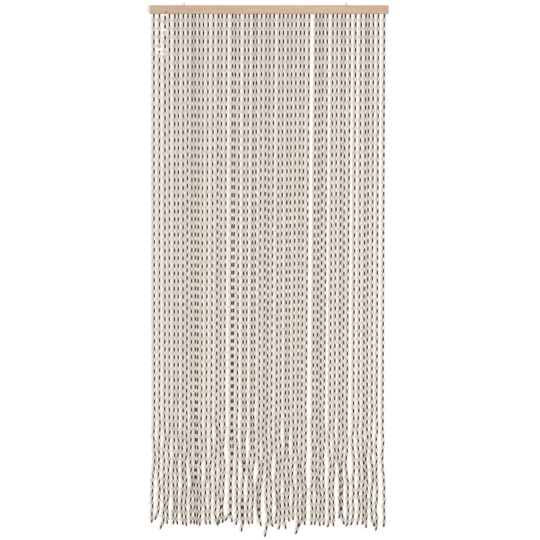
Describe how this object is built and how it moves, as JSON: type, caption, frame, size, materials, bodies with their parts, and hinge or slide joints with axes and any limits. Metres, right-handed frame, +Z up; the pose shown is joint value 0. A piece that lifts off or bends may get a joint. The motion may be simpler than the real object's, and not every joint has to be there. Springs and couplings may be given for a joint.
{
  "type": "bead-string door curtain on a wooden batten",
  "caption": "Door curtain of free-hanging strings of pale beads and dark tubes that part to let one through, on a wooden batten with metal hanging eyes.",
  "frame": {"origin": "middle of the batten's length and thickness, level with the top of the holes of the two hanging eyes, where the hooks that hold the curtain bear", "axes": "+Z up along the strings, +Y through the thickness back to the wall, +X along the batten to the right seen from the front"},
  "size_m": [0.9, 0.028, 2.0143],
  "materials": {
    "batten_wood": "planed pale hardwood, clear matt oil",
    "eye_steel": "zinc plated, dulled to dark grey",
    "bead_wood": "turned beads, limed cream, matt",
    "tube_wood": "turned tubes, dark brown stain, satin",
    "string_cord": "thin off-white cord",
    "heading_tape": "woven cotton tape"
  },
  "bodies": {
    "root": {"batten": "batten_wood", "hanging_eye_left": "eye_steel", "hanging_eye_right": "eye_steel", "strings": "bead_wood"}
  },
  "joints": []
}
